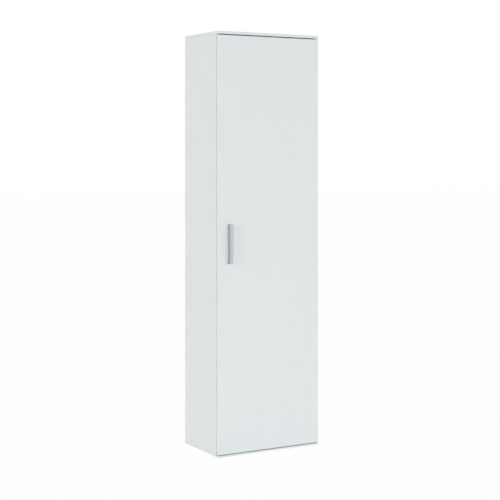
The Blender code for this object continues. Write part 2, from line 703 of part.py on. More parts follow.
def make_cams():
    """Cam locks in the sides, and the bolts in the top and base that they draw on."""
    bolt_length = CAM_FROM_END + SEAT_GAP
    head_end = BOLT_HEAD_LENGTH / 2
    bolt_profile = (
        (0, -BOLT_THREAD_LENGTH),
        (BOLT_THREAD_RADIUS, -BOLT_THREAD_LENGTH),
        (BOLT_THREAD_RADIUS, 0),
        (BOLT_SHANK_RADIUS, bolt_length - head_end - BOLT_NECK_LENGTH),
        (BOLT_NECK_RADIUS, bolt_length - head_end - BOLT_NECK_LENGTH),
        (BOLT_NECK_RADIUS, bolt_length - head_end),
        (BOLT_HEAD_RADIUS, bolt_length - head_end),
        (BOLT_HEAD_RADIUS, bolt_length + head_end),
        (0, bolt_length + head_end),
    )
    for name, sign, is_top, y in cam_corners():
        z = cam_axis_z(is_top)
        inner_x = sign * (WIDTH / 2 - BOARD)
        bolt_x = sign * (WIDTH / 2 - BOARD / 2)
        seat_z = TOP_BOTTOM_Z if is_top else BASE_TOP_Z
        turn = Matrix.Rotation(math.pi, 4, "X") if is_top else Matrix.Identity(4)
        bolt = turned_bm(bolt_profile, SIDES_SMALL, Matrix.Translation((bolt_x, y, seat_z)) @ turn)
        mesh_object("cam_bolt_" + name, bolt, "bolt_steel", smooth=True)
        cam_bm = bmesh.new()
        start_x = inner_x if sign > 0 else inner_x - CAM_DEPTH
        add_cylinder(cam_bm, (start_x, y, z), "x", CAM_RADIUS, CAM_DEPTH, SIDES_MEDIUM)
        cam = mesh_object("cam_" + name, cam_bm, "cast_zinc", smooth=True)
        mouth = bmesh.new()
        mouth_length = CAM_RADIUS + BOLT_HEAD_RADIUS + CUT_PAST
        mouth_z = z - BOLT_HEAD_RADIUS if is_top else z + BOLT_HEAD_RADIUS - mouth_length
        start = (bolt_x, y, mouth_z)
        add_cylinder(mouth, start, "z", BOLT_HEAD_RADIUS + SEAT_GAP, mouth_length, SIDES_SMALL)
        boolean(cam, "DIFFERENCE", mouth)
        slot = bmesh.new()
        slot_xs = sorted((inner_x - sign * CUT_PAST, inner_x + sign * CAM_SLOT_DEPTH))
        half = CAM_SLOT_WIDTH / 2
        reach = CAM_SLOT_REACH
        add_box(slot, (slot_xs[0], y - half, z - reach), (slot_xs[1], y + half, z + reach))
        boolean(cam, "DIFFERENCE", slot)
        cross = bmesh.new()
        add_box(cross, (slot_xs[0], y - reach, z - half), (slot_xs[1], y + reach, z + half))
        boolean(cam, "DIFFERENCE", cross)


def make_door(pivot):
    """The door board, bored for the hinge cups and the handle's screws."""
    low = (DOOR_LEFT_X, FRONT_Y, DOOR_BOTTOM_Z)
    high = (DOOR_RIGHT_X, DOOR_BACK_Y, DOOR_TOP_Z)
    door = mesh_object("door", box_bm(low, high, DOOR_EDGE_RADIUS, DOOR_EDGE_STEPS), "white_melamine")
    cups = bmesh.new()
    for z in hinge_heights():
        depth = CUP_DEPTH + SEAT_GAP
        start = (CUP_CENTRE_X, DOOR_BACK_Y - depth, z)
        add_cylinder(cups, start, "y", CUP_RADIUS + SEAT_GAP, depth + CUT_PAST, SIDES_LARGE)
    boolean(door, "DIFFERENCE", cups)
    screws = bmesh.new()
    for _, z in handle_screws():
        start = (handle_x(), FRONT_Y - CUT_PAST, z)
        length = DOOR_THICKNESS + 2 * CUT_PAST
        add_cylinder(screws, start, "y", HANDLE_SCREW_RADIUS + SEAT_GAP, length, SIDES_SMALL)
    boolean(door, "DIFFERENCE", screws)
    hang(door, pivot)


def hang(obj, pivot):
    """Parents a piece of the door to the empty on the hinge axis, without moving it."""
    obj.parent = pivot
    obj.matrix_parent_inverse = Matrix.Translation(-pivot.location)


def handle_x():
    return LEFT_X + HANDLE_FROM_EDGE


def handle_screws():
    """Name and height of each handle screw, in the middle of a leg."""
    reach = HANDLE_LENGTH / 2 - HANDLE_LEG / 2
    yield "lower", HANDLE_CENTRE_HEIGHT - reach
    yield "upper", HANDLE_CENTRE_HEIGHT + reach


def bow_path(half_length, front_y, bend):
    """One side of the bow's profile, as (y, z) points from its lower foot to its upper one."""
    door_y = FRONT_Y - SEAT_GAP
    corners = (
        Vector((door_y, -half_length)),
        Vector((front_y, -half_length)),
        Vector((front_y, half_length)),
        Vector((door_y, half_length)),
    )
    return [tuple(point) for point in rounded_path(corners, bend, HANDLE_BEND_STEPS)]


def make_handle(pivot):
    """An upright bow handle: a flat strap that bends back to the door in two stouter legs."""
    front_y = FRONT_Y - HANDLE_STAND_OFF
    outer = bow_path(HANDLE_LENGTH / 2, front_y, HANDLE_OUTER_BEND)
    inner = bow_path(HANDLE_LENGTH / 2 - HANDLE_LEG, front_y + HANDLE_THICKNESS, HANDLE_INNER_BEND)

    def place(y, up, x):
        return Vector((x, y, HANDLE_CENTRE_HEIGHT + up))

    half = HANDLE_WIDTH / 2
    bm = prism_bm(outer + inner[::-1], place, handle_x() - half, handle_x() + half)
    rims = set(bm.edges) - set(edges_along(bm, 0))
    bevel_edges(bm, list(rims), HANDLE_EDGE_CHAMFER, 1)
    handle = mesh_object("handle", bm, "handle_satin", smooth=True)
    bores = bmesh.new()
    for _, z in handle_screws():
        start = (handle_x(), FRONT_Y - SEAT_GAP - HANDLE_SCREW_BITE, z)
        length = HANDLE_SCREW_BITE + CUT_PAST
        add_cylinder(bores, start, "y", HANDLE_SCREW_RADIUS + SEAT_GAP, length, SIDES_SMALL)
    boolean(handle, "DIFFERENCE", bores)
    hang(handle, pivot)


def make_handle_screws(pivot):
    """The screws that come through the door from behind into the handle's legs."""
    shank_end = HANDLE_SCREW_END_CLEARANCE - DOOR_THICKNESS - SEAT_GAP - HANDLE_SCREW_BITE
    head_seat = SEAT_GAP
    head_end = head_seat + HANDLE_SCREW_HEAD_HEIGHT
    profile = (
        (0, shank_end),
        (HANDLE_SCREW_RADIUS, shank_end),
        (HANDLE_SCREW_RADIUS, head_seat),
        (HANDLE_SCREW_HEAD_RADIUS, head_seat),
        (HANDLE_SCREW_CROWN_RADIUS, head_end),
        (0, head_end),
    )
    for name, z in handle_screws():
        matrix = Matrix.Translation((handle_x(), DOOR_BACK_Y, z)) @ AXIS_TURN["y"]
        bm = turned_bm(profile, SIDES_SMALL, matrix)
        screw = mesh_object("handle_screw_" + name, bm, "bolt_steel", smooth=True)
        hang(screw, pivot)


def make_hinge_cup(number, height, pivot):
    """The pressed cup with its flange, wings and the two cheeks that carry the knuckle pin."""
    outer_end = DOOR_STAND_OFF + CUP_DEPTH
    flange_top = DOOR_STAND_OFF - SEAT_GAP
    mouth = flange_top - FLANGE_THICKNESS
    inner = CUP_RADIUS - CUP_WALL
    inner_end = outer_end - CUP_BOTTOM
    profile = (
        (0, outer_end),
        (CUP_RADIUS - CUP_BOTTOM_CHAMFER, outer_end),
        (CUP_RADIUS, outer_end - CUP_BOTTOM_CHAMFER),
        (CUP_RADIUS, mouth),
        (0, mouth),
    )
    axis = Matrix.Translation((CUP_CENTRE_X, SIDE_FRONT_Y, height)) @ Matrix.Rotation(
        math.radians(90), 4, "X"
    )
    cup = mesh_object(
        f"hinge_cup_{number}", turned_bm(profile, SIDES_LARGE, axis), "hinge_nickel", smooth=True
    )
    wings = bmesh.new()
    wing_end_y = SIDE_FRONT_Y - flange_top
    wing_start_y = SIDE_FRONT_Y - mouth - RIM_PROUD
    add_box(
        wings,
        (CUP_CENTRE_X - WING_HALF_WIDTH, wing_end_y, height - WING_HALF_LENGTH),
        (CUP_CENTRE_X + WING_HALF_WIDTH, wing_start_y, height + WING_HALF_LENGTH),
    )
    bevel_edges(wings, edges_along(wings, 1), WING_CORNER_RADIUS, CORNER_STEPS)
    boolean(cup, "UNION", wings)
    opening = bmesh.new()
    start = (CUP_CENTRE_X, SIDE_FRONT_Y - inner_end, height)
    length = inner_end - mouth + CUT_PAST
    add_cylinder(opening, start, "y", inner, length, SIDES_LARGE)
    boolean(cup, "DIFFERENCE", opening)
    place = hinge_place(height)
    for direction in (-1, 1):
        near = direction * (KNUCKLE_HALF_WIDTH + CHEEK_CLEARANCE)
        far = near + direction * CHEEK_THICKNESS
        low, high = sorted((near, far))
        cheek = prism_bm(cheek_outline(inner_end + CUP_BOTTOM / 2), place, low, high)
        boolean(cup, "UNION", cheek)
    bore = bmesh.new()
    half = KNUCKLE_HALF_WIDTH + CHEEK_CLEARANCE + CHEEK_THICKNESS + SEAT_GAP
    start = (PIVOT_X, PIVOT_Y, height - half)
    add_cylinder(bore, start, "z", KNUCKLE_PIN_RADIUS + PIN_RUNNING_GAP, 2 * half, SIDES_SMALL)
    boolean(cup, "DIFFERENCE", bore)
    screw_holes = bmesh.new()
    for direction in (-1, 1):
        z = height + direction * WING_HOLE_SPACING / 2
        start = (CUP_CENTRE_X, wing_end_y - CUT_PAST, z)
        length = FLANGE_THICKNESS + 2 * CUT_PAST
        add_cylinder(screw_holes, start, "y", WING_HOLE_RADIUS, length, SIDES_SMALL)
    boolean(cup, "DIFFERENCE", screw_holes)
    hang(cup, pivot)


def cheek_outline(floor_out):
    """A cheek's outline, rounded over the pin and running down to the cup's floor and wall."""
    wall_in = PIVOT_IN - CHEEK_RADIUS
    points = [(wall_in, floor_out), (wall_in, PIVOT_OUT)]
    for step in range(1, HALF_ROUND_STEPS):
        angle = math.pi * step / HALF_ROUND_STEPS
        points.append(
            (
                PIVOT_IN - CHEEK_RADIUS * math.cos(angle),
                PIVOT_OUT - CHEEK_RADIUS * math.sin(angle),
            )
        )
    points.append((PIVOT_IN + CHEEK_RADIUS, PIVOT_OUT))
    points.append((PIVOT_IN + CHEEK_RADIUS, floor_out))
    return points


def make_knuckle_pin(number, height, pivot):
    """The pin across the cup that the arm's knuckle turns on."""
    bm = bmesh.new()
    start = (PIVOT_X, PIVOT_Y, height - KNUCKLE_PIN_HALF_LENGTH)
    add_cylinder(bm, start, "z", KNUCKLE_PIN_RADIUS, 2 * KNUCKLE_PIN_HALF_LENGTH, SIDES_SMALL)
    pin = mesh_object(f"hinge_pin_{number}", bm, "bolt_steel", smooth=True)
    hang(pin, pivot)


def make_hinge_arm(number, height):
    """The gooseneck arm: a channel over the mounting plate, drawn forward into a bent neck that ends in a
    knuckle round the pin.  The neck stays clear of the cup's rim and the side's edge as the door swings."""
    place = hinge_place(height)
    channel_outline = (
        (CHANNEL_EDGE_IN, CHANNEL_BACK_OUT),
        (CHANNEL_TOP_IN, CHANNEL_BACK_OUT),
        (CHANNEL_TOP_IN, CHANNEL_FRONT_OUT),
        (CHANNEL_EDGE_IN + CHANNEL_NOSE_RISE, CHANNEL_FRONT_OUT),
        (CHANNEL_EDGE_IN, CHANNEL_FRONT_OUT - CHANNEL_NOSE_LENGTH),
    )
    channel = prism_bm(channel_outline, place, -CHANNEL_HALF_WIDTH, CHANNEL_HALF_WIDTH)
    arm = mesh_object(f"hinge_arm_{number}", channel, "hinge_nickel", smooth=True)
    hollow_half = CHANNEL_HALF_WIDTH - CHANNEL_WALL
    hollow_outline = (
        (CHANNEL_EDGE_IN - CUT_PAST, CHANNEL_BACK_OUT - CUT_PAST),
        (CHANNEL_TOP_IN - CHANNEL_TOP_THICKNESS, CHANNEL_BACK_OUT - CUT_PAST),
        (CHANNEL_TOP_IN - CHANNEL_TOP_THICKNESS, CHANNEL_FRONT_OUT + CUT_PAST),
        (CHANNEL_EDGE_IN - CUT_PAST, CHANNEL_FRONT_OUT + CUT_PAST),
    )
    boolean(arm, "DIFFERENCE", prism_bm(hollow_outline, place, -hollow_half, hollow_half))
    strip_in = CHANNEL_TOP_IN - CHANNEL_TOP_THICKNESS / 2
    corners = (
        Vector((PIVOT_IN, ARM_NOSE_OUT)),
        Vector((ARM_NECK_IN, ARM_NOSE_OUT)),
        Vector((ARM_NECK_IN, ARM_RAMP_START_OUT)),
        Vector((strip_in, ARM_RAMP_END_OUT)),
        Vector((strip_in, ARM_LAP_END_OUT)),
    )
    path = rounded_path(corners, ARM_BEND_RADIUS + ARM_THICKNESS / 2, BEND_STEPS)
    strip_outline = [tuple(point) for point in ribbon(path, ARM_THICKNESS)]
    boolean(arm, "UNION", prism_bm(strip_outline, place, -ARM_HALF_WIDTH, ARM_HALF_WIDTH))
    knuckle = bmesh.new()
    start = (PIVOT_X, PIVOT_Y, height - ARM_HALF_WIDTH)
    add_cylinder(knuckle, start, "z", KNUCKLE_RADIUS, 2 * ARM_HALF_WIDTH, SIDES_MEDIUM)
    boolean(arm, "UNION", knuckle)
    for direction in (-1, 1):
        boolean(arm, "DIFFERENCE", taper_cutter(height, direction))
    bore = bmesh.new()
    half = ARM_HALF_WIDTH + CUT_PAST
    start = (PIVOT_X, PIVOT_Y, height - half)
    add_cylinder(bore, start, "z", KNUCKLE_PIN_RADIUS + PIN_RUNNING_GAP, 2 * half, SIDES_SMALL)
    boolean(arm, "DIFFERENCE", bore)
    adjuster = bmesh.new()
    top_x = RIGHT_INNER_X - CHANNEL_TOP_IN
    length = ADJUSTER_RECESS + CUT_PAST
    for outward in (CHANNEL_FRONT_OUT - ADJUSTER_FROM_END, CHANNEL_BACK_OUT + ADJUSTER_FROM_END):
        start = (top_x - CUT_PAST, SIDE_FRONT_Y - outward, height)
        add_cylinder(adjuster, start, "x", ADJUSTER_RADIUS, length, SIDES_SMALL)
    boolean(arm, "DIFFERENCE", adjuster)


def taper_cutter(height, direction):
    """What is cut from one edge of the neck, so that it narrows towards the knuckle."""
    narrow = KNUCKLE_HALF_WIDTH
    wide = ARM_HALF_WIDTH + CUT_PAST
    outline = (
        (ARM_TAPER_END_OUT, ARM_HALF_WIDTH),
        (ARM_TAPER_START_OUT, narrow),
        (PIVOT_OUT + 2 * KNUCKLE_RADIUS, narrow),
        (PIVOT_OUT + 2 * KNUCKLE_RADIUS, wide),
        (ARM_TAPER_END_OUT, wide),
    )
    low_in = PIVOT_IN - 2 * KNUCKLE_RADIUS
    high_in = CHANNEL_TOP_IN + CUT_PAST

    def place(outward, up, inward):
        return Vector((RIGHT_INNER_X - inward, SIDE_FRONT_Y - outward, height + direction * up))

    return prism_bm(outline, place, low_in, high_in)


def make_hinge_plate(number, height):
    """The mounting plate: a wing with two screw holes on the side, and the ridge that the arm straddles."""
    wing = bmesh.new()
    screw_y = SIDE_FRONT_Y - PLATE_SCREW_LINE_OUT
    seat_x = RIGHT_INNER_X - SEAT_GAP
    face_x = seat_x - PLATE_THICKNESS
    add_box(
        wing,
        (face_x, screw_y - PLATE_WING_HALF_WIDTH, height - PLATE_HALF_LENGTH),
        (seat_x, screw_y + PLATE_WING_HALF_WIDTH, height + PLATE_HALF_LENGTH),
    )
    bevel_edges(wing, edges_along(wing, 0), PLATE_CORNER_RADIUS, CORNER_STEPS)
    plate = mesh_object(f"hinge_plate_{number}", wing, "hinge_nickel", smooth=True)
    ridge = bmesh.new()
    ridge_top_in = CHANNEL_TOP_IN - CHANNEL_TOP_THICKNESS - RIDGE_TOP_CLEARANCE
    add_box(
        ridge,
        (RIGHT_INNER_X - ridge_top_in, SIDE_FRONT_Y - RIDGE_FRONT_OUT, height - RIDGE_HALF_WIDTH),
        (face_x + UNION_LAP, SIDE_FRONT_Y - RIDGE_BACK_OUT, height + RIDGE_HALF_WIDTH),
    )
    boolean(plate, "UNION", ridge)
    holes = bmesh.new()
    for direction in (-1, 1):
        z = height + direction * PLATE_HOLE_SPACING / 2
        start = (face_x - CUT_PAST, screw_y, z)
        length = PLATE_THICKNESS + 2 * CUT_PAST
        add_cylinder(holes, start, "x", PLATE_HOLE_RADIUS, length, SIDES_SMALL)
    boolean(plate, "DIFFERENCE", holes)


def make_bumpers():
    """Soft dots on the left side's front edge that the door closes against."""
    height = DOOR_STAND_OFF - 2 * SEAT_GAP
    profile = (
        (0, 0),
        (BUMPER_RADIUS, 0),
        (BUMPER_RADIUS, BUMPER_RIM_HEIGHT),
        (BUMPER_CROWN_RADIUS, height - BUMPER_CROWN_DROP),
        (0, height),
    )
    for name, z in (
        ("lower", SIDE_BOTTOM_Z + BUMPER_FROM_END),
        ("upper", SIDE_TOP_Z - BUMPER_FROM_END),
    ):
        place = Matrix.Translation((LEFT_X + BOARD / 2, SIDE_FRONT_Y - SEAT_GAP, z))
        turn = Matrix.Rotation(math.radians(90), 4, "X")
        bm = turned_bm(profile, SIDES_SMALL, place @ turn)
        mesh_object("door_bumper_" + name, bm, "clear_rubber", smooth=True)


def make_wall_bracket():
    """The angle under the top whose rear leg takes the screw to the wall, through the back."""
    top_z = TOP_BOTTOM_Z - SEAT_GAP
    rear_y = BACK_FRONT_Y - SEAT_GAP
    outline = (
        (rear_y, top_z),
        (rear_y - BRACKET_LEG, top_z),
        (rear_y - BRACKET_LEG, top_z - BRACKET_THICKNESS),
        (rear_y - BRACKET_THICKNESS, top_z - BRACKET_THICKNESS),
        (rear_y - BRACKET_THICKNESS, top_z - BRACKET_LEG),
        (rear_y, top_z - BRACKET_LEG),
    )
    half = BRACKET_WIDTH / 2
    bm = prism_bm(outline, lambda y, z, x: Vector((x, y, z)), -half, half)
    bracket = mesh_object("wall_bracket", bm, "bracket_zinc")
    hole = bmesh.new()
    start = (0, rear_y - BRACKET_THICKNESS - CUT_PAST, wall_screw_z())
    length = BRACKET_THICKNESS + 2 * CUT_PAST
    add_cylinder(hole, start, "y", BRACKET_HOLE_RADIUS, length, SIDES_SMALL)
    boolean(bracket, "DIFFERENCE", hole)


def main():
    clear_scene()
    pivot = bpy.data.objects.new("door_axis", None)
    bpy.context.scene.collection.objects.link(pivot)
    pivot.location = (PIVOT_X, PIVOT_Y, 0)
    make_side("side_left", -1)
    make_side("side_right", 1)
    make_top()
    make_base()
    make_back()
    make_shelf()
    make_shelf_pins()
    make_rail()
    front, back = rail_ends()
    make_rail_bracket("rail_bracket_front", front, 1)
    make_rail_bracket("rail_bracket_back", back, -1)
    make_glides()
    make_cams()
    make_door(pivot)
    make_handle(pivot)
    make_handle_screws(pivot)
    for number, height in enumerate(hinge_heights(), start=1):
        make_hinge_cup(number, height, pivot)
        make_knuckle_pin(number, height, pivot)
        make_hinge_arm(number, height)
        make_hinge_plate(number, height)
    make_bumpers()
    make_wall_bracket()


main()
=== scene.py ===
"""Looks of a tall white single-door wardrobe: board and metal finishes, fittings, screws and a studio."""

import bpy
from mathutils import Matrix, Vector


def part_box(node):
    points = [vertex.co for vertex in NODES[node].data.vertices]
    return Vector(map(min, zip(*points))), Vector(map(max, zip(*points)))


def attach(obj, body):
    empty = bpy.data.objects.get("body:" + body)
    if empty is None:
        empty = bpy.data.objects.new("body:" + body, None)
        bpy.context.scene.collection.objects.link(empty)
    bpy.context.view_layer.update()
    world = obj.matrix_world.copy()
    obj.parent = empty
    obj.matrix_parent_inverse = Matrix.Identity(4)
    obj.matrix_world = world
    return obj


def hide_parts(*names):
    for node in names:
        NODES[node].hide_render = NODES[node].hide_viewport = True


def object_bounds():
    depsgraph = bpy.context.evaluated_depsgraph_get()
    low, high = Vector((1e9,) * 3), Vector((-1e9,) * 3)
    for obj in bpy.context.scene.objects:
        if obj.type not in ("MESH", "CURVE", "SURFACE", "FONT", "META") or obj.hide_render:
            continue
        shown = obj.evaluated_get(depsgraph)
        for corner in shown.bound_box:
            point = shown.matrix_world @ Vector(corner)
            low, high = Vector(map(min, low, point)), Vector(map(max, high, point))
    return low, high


bl_info = {
    "name": "Tall Wardrobe Looks",
    "version": (1, 0, 0),
    "blender": (4, 5, 0),
    "location": "3D View > Sidebar > Wardrobe",
    "description": "Finishes, fittings and studio for a tall single-door wardrobe",
    "category": "Object",
}

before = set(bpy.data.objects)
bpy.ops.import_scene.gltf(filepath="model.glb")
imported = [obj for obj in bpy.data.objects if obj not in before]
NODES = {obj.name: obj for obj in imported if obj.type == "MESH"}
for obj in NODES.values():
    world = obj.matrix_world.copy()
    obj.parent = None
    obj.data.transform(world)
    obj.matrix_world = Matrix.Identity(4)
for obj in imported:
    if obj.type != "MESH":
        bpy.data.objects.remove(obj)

import math

import bmesh
import bpy
from bpy.props import FloatProperty, FloatVectorProperty, PointerProperty
from mathutils import Matrix, Vector

CAD_BOX = [list(corner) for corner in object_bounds()]
MM = 0.001
CARCASS = "carcass"
LEAF = "door_leaf"
HINGE_NUMBERS = (1, 2, 3, 4)
CORNERS = ("left_front", "left_back", "right_front", "right_back")
SMOOTH_ANGLE = math.radians(32)
SHARP_ANGLE = math.radians(28)
FLAT_ANGLE = math.radians(0.5)
WELD = 0.002 * MM

# Sheet thicknesses and screw places of the fittings, which the screws follow
CUP_SCREW_SPACING = 45 * MM
PLATE_SHEET = 2.2 * MM
PLATE_SCREW_SPACING = 32 * MM
PLATE_SCREW_LINE = 15 * MM
FRONT_ADJUSTER = 38 * MM
REAR_ADJUSTER = 9 * MM
ADJUSTER_DEPTH = 1 * MM
RAIL_FOOT_SHEET = 2 * MM
RAIL_SCREW_SPACING = 27 * MM
ANGLE_SHEET = 2 * MM
ANGLE_SCREW_LINE = 12 * MM
HEAD_SINK = 0.15 * MM

# Sizes of the other screws against the hinges' chipboard screws
ADJUSTER_SHARE = 0.67
RAIL_SCREW_SHARE = 0.9
ANGLE_SCREW_SHARE = 1.1

# A screw's head: how many sides it has, and its shape in shares of its radius, height and cross
SCREW_SIDES = 20
HEAD_TAPER = 0.86
HEAD_ROUNDING = 0.35
CROSS_ARM = 0.26
CROSS_DEPTH = 0.6
CROSS_TAPER = 0.7

# How squarely a face has to be turned one way to get that side's finish, or on the handle its painted shade
BOARD_FACING = 0.6
BACK_FACING = 0.5
HANDLE_INNER_FACING = 0.5
HANDLE_SIDE_FACING = 0.8

# Spacing of the patterns.  A metal's tone drifts over so many of its grains, and the handle's brush marks
# are so many times longer than they are wide.
BOARD_CLOUD = 90 * MM
BACK_FIBRE = 5 * MM
BACK_CLOUD = 70 * MM
PLASTIC_CLOUD = 9 * MM
MOULD_PEEL = 0.8 * MM
METAL_DRIFT_GRAINS = 14
BRUSH_STRETCH = 50

# Depth of the reliefs
PEBBLE_DEPTH = 0.012 * MM
STIPPLE_DEPTH = 0.02 * MM
BRUSH_DEPTH = 0.004 * MM
PEEL_DEPTH = 0.01 * MM

# Darkest tone of each finish as a share of its own colour, and the lightest where that isn't its own
BOARD_TONES = (0.992, 1.004)
RAW_BACK_TONES = (0.86, 1.1)
LACQUER_TONE = 0.985
BRUSHED_TONE = 0.95
METAL_TONE = 0.93
PLASTIC_TONE = 0.97

# How much of the raw back's mottling is clouds, the rest being fibres
BACK_CLOUD_SHARE = 0.4

# Roughness, from smoothest to roughest where it varies.  Plain metal and plastic vary about their own.
BOARD_ROUGHNESS = (0.38, 0.47)
TAPE_ROUGHNESS = 0.34
CHIP_ROUGHNESS = 0.9
LACQUER_ROUGHNESS = (0.44, 0.56)
RAW_BACK_ROUGHNESS = 0.85
BRUSHED_ROUGHNESS = (0.3, 0.44)
DULL_ROUGHNESS = 0.6
METAL_ROUGHNESS_SHARES = (0.8, 1.25)
PLASTIC_ROUGHNESS_STEPS = (-0.05, 0.06)
FLOOR_ROUGHNESS = 0.9

# How clear the bumpers are, from 0 to 1
SILICONE_CLEARNESS = 0.5

# The part of its range that soft noise mostly keeps to
NOISE_LOW = 0.25
NOISE_HIGH = 0.75

# Studio: the floor in metres, the camera's frame in millimetres, and the share of the cabinet's height
# that the low lamp shines at
FLOOR_HALF_SIZE = 30
FRAME_WIDTH = 36
LOW_TARGET_SHARE = 0.25
SOFT_SHADOW_ANGLE = math.radians(20)
WHITE = (1, 1, 1, 1)

# Turns a shape made along +Z to point along another direction
POINTING = {
    "-z": Matrix.Rotation(math.pi, 4, "X"),
    "+y": Matrix.Rotation(math.radians(-90), 4, "X"),
    "-x": Matrix.Rotation(math.radians(-90), 4, "Y"),
}


def linear(colour):
    """The linear red, green and blue of an sRGB colour written as hex."""
    parts = [int(colour[start : start + 2], 16) / 255 for start in (1, 3, 5)]
    return tuple(p / 12.92 if p <= 0.04045 else ((p + 0.055) / 1.055) ** 2.4 for p in parts)


def colour_property(name, description, default):
    return FloatVectorProperty(
        name=name, description=description, subtype="COLOR", min=0, max=1, default=linear(default)
    )


def length_property(name, description, millimetres):
    return FloatProperty(
        name=name,
        description=description,
        subtype="DISTANCE",
        unit="LENGTH",
        min=0,
        default=millimetres * MM,
    )


class WardrobeFinishes(bpy.types.PropertyGroup):
    board: colour_property("Board", "Face of the melamine-faced board", "#E3E8E9")
    edge_tape: colour_property("Edge tape", "Tape glued on the boards' edges", "#E1E6E7")
    # Painted light: the sides' edge tape is made whiter than the other tape, to lift the shade in the narrow
    # gap behind the door.
    side_tape_painted_light: colour_property("Side tape", "Whiter tape on the sides' front edges", "#FBFCFC")
    chip_light: colour_property("Chipboard, light", "Pale flakes of the raw board", "#D8BF98")
    chip_dark: colour_property("Chipboard, dark", "Dark flakes of the raw board", "#A98A61")
    lacquer: colour_property("Back, inside", "Lacquered face of the back", "#E0E4E4")
    hardboard: colour_property("Back, rear", "Raw rear face of the back", "#9C7B57")
    satin_metal: colour_property("Handle", "Satin nickel of the handle", "#CACECF")
    # Painted shade: the handle's narrow sides are made greyer than its face, standing in for the shade along
    # its flanks.
    side_metal_painted_shade: colour_property("Handle, sides", "Narrow sides of the handle", "#B0B3B5")
    # Painted shade: the faces turned to the door are made dark, which deepens the shade on the door behind
    # the bow.
    inner_metal_painted_shade: colour_property("Handle, inside", "Unbrushed faces of the handle", "#55585A")
    nickel: colour_property("Hinges", "Nickel plating of the hinges", "#CFCBC4")
    chrome: colour_property("Rail", "Chrome plating of the rail", "#DEDFE0")
    zinc: colour_property("Castings", "Raw die-cast zinc", "#ABADAE")
    steel: colour_property("Screws", "Bright zinc-plated steel", "#C3C6C5")
    plastic: colour_property("Glides", "Moulded plastic of the glides", "#ECEEED")
    silicone: colour_property("Bumpers", "Soft clear dots", "#DCE2E3")


class WardrobeSizes(bpy.types.PropertyGroup):
    pebble: length_property("Board texture", "Spacing of the press plate's pebbles", 1.1)
    flake: length_property("Flake", "Width of a flake in the raw board", 2.2)
    stipple: length_property("Lacquer stipple", "Spacing of the roller's marks", 1.6)
    brush: length_property("Brush mark", "Spacing of the brush marks on the handle", 0.35)
    grain: length_property("Casting grain", "Grain of the raw castings", 0.6)
    handle_rounding: length_property("Handle rounding", "Rounding of the handle's chamfered edges", 0.3)
    pressed_rounding: length_property("Pressed rounding", "Rounding of the pressed hinge parts' edges", 0.28)
    cast_rounding: length_property("Cast rounding", "Rounding of the rail sockets' and pins' edges", 0.5)
    cam_rounding: length_property("Cam rounding", "Rounding of the cam locks' edges", 0.25)
    angle_rounding: length_property("Angle rounding", "Rounding of the wall angle's edges", 0.4)
    tube_rounding: length_property("Tube rounding", "Rounding of the rail's cut ends", 0.2)
    screw_head: length_property("Screw head", "Radius of a chipboard screw's head", 3.6)
    screw_height: length_property("Screw head height", "Height of a chipboard screw's head", 1.5)
    screw_cross: length_property("Cross", "Reach of the cross in a chipboard screw's head", 2.1)


def strength_property(name, description, default):
    return FloatProperty(name=name, description=description, min=0, default=default)


def direction_property(name, description, default):
    return FloatVectorProperty(name=name, description=description, subtype="DIRECTION", default=default)


class WardrobeStudio(bpy.types.PropertyGroup):
    camera_place: FloatVectorProperty(
        name="Camera", description="Place of the camera", subtype="TRANSLATION", unit="LENGTH",
        default=(-2.72486, -4.79042, 1.29638),
    )
    camera_turn: FloatProperty(
        name="Turn", description="Turn of the camera to the right of straight ahead",
        subtype="ANGLE", unit="ROTATION", default=math.radians(29.506),
    )
    lens: FloatProperty(
        name="Lens", description="Focal length on a 36 mm frame", unit="CAMERA", default=90.108
    )
    shift: FloatProperty(name="Shift", description="Vertical shift of the lens", default=-0.19932)
    key_light: strength_property("Key light", "Strength of the lamp in front", 0.7)
    key_from: direction_property("Key from", "Where the lamp in front stands", (1, -26, 5))
    left_light: strength_property("Left light", "Strength of the lamp at the left", 1.05)
    left_from: direction_property("Left from", "Where the lamp at the left stands", (-26, -8, 6))
    right_light: strength_property("Right light", "Strength of the lamp at the right", 0.9)
    right_from: direction_property("Right from", "Where the lamp at the right stands", (26, 2, 6))
    rear_light: strength_property("Rear light", "Strength of the lamp behind", 0.9)
    rear_from: direction_property("Rear from", "Where the lamp behind stands", (0, 26, 6))
    top_light: strength_property("Top light", "Strength of the lamp overhead", 0.5)
    top_from: direction_property("Top from", "Where the lamp overhead hangs", (0, 0, 1))
    low_light: strength_property("Low light", "Strength of the low lamp in front", 3.6)
    low_place: FloatVectorProperty(
        name="Low lamp", description="Place of the low lamp", subtype="TRANSLATION", unit="LENGTH",
        default=(-0.5, -2.4, 0.3),
    )
    low_size: length_property("Low lamp size", "Side of the low lamp", 800)
    room_light: strength_property("Room light", "Strength of the light all round", 0.405)
    floor: colour_property("Floor", "Colour of the floor", "#FAFAFA")
    floor_shadow: FloatProperty(
        name="Floor shadow", description="Share of the floor's own shading that the camera sees",
        subtype="FACTOR", min=0, max=1, default=0.04,
    )


def finishes():
    return bpy.context.scene.wardrobe_finishes


def sizes():
    return bpy.context.scene.wardrobe_sizes


def studio():
    return bpy.context.scene.wardrobe_studio


def add_node(tree, kind, inputs=None, **settings):
    """Adds a shader node.  Inputs are values or other nodes' outputs, settings are the node's own fields."""
    made = tree.nodes.new("ShaderNode" + kind)
    for name, value in settings.items():
        setattr(made, name, value)
    for socket, value in (inputs or {}).items():
        if isinstance(value, bpy.types.NodeSocket):
            tree.links.new(value, made.inputs[socket])
        else:
            made.inputs[socket].default_value = value
    return made


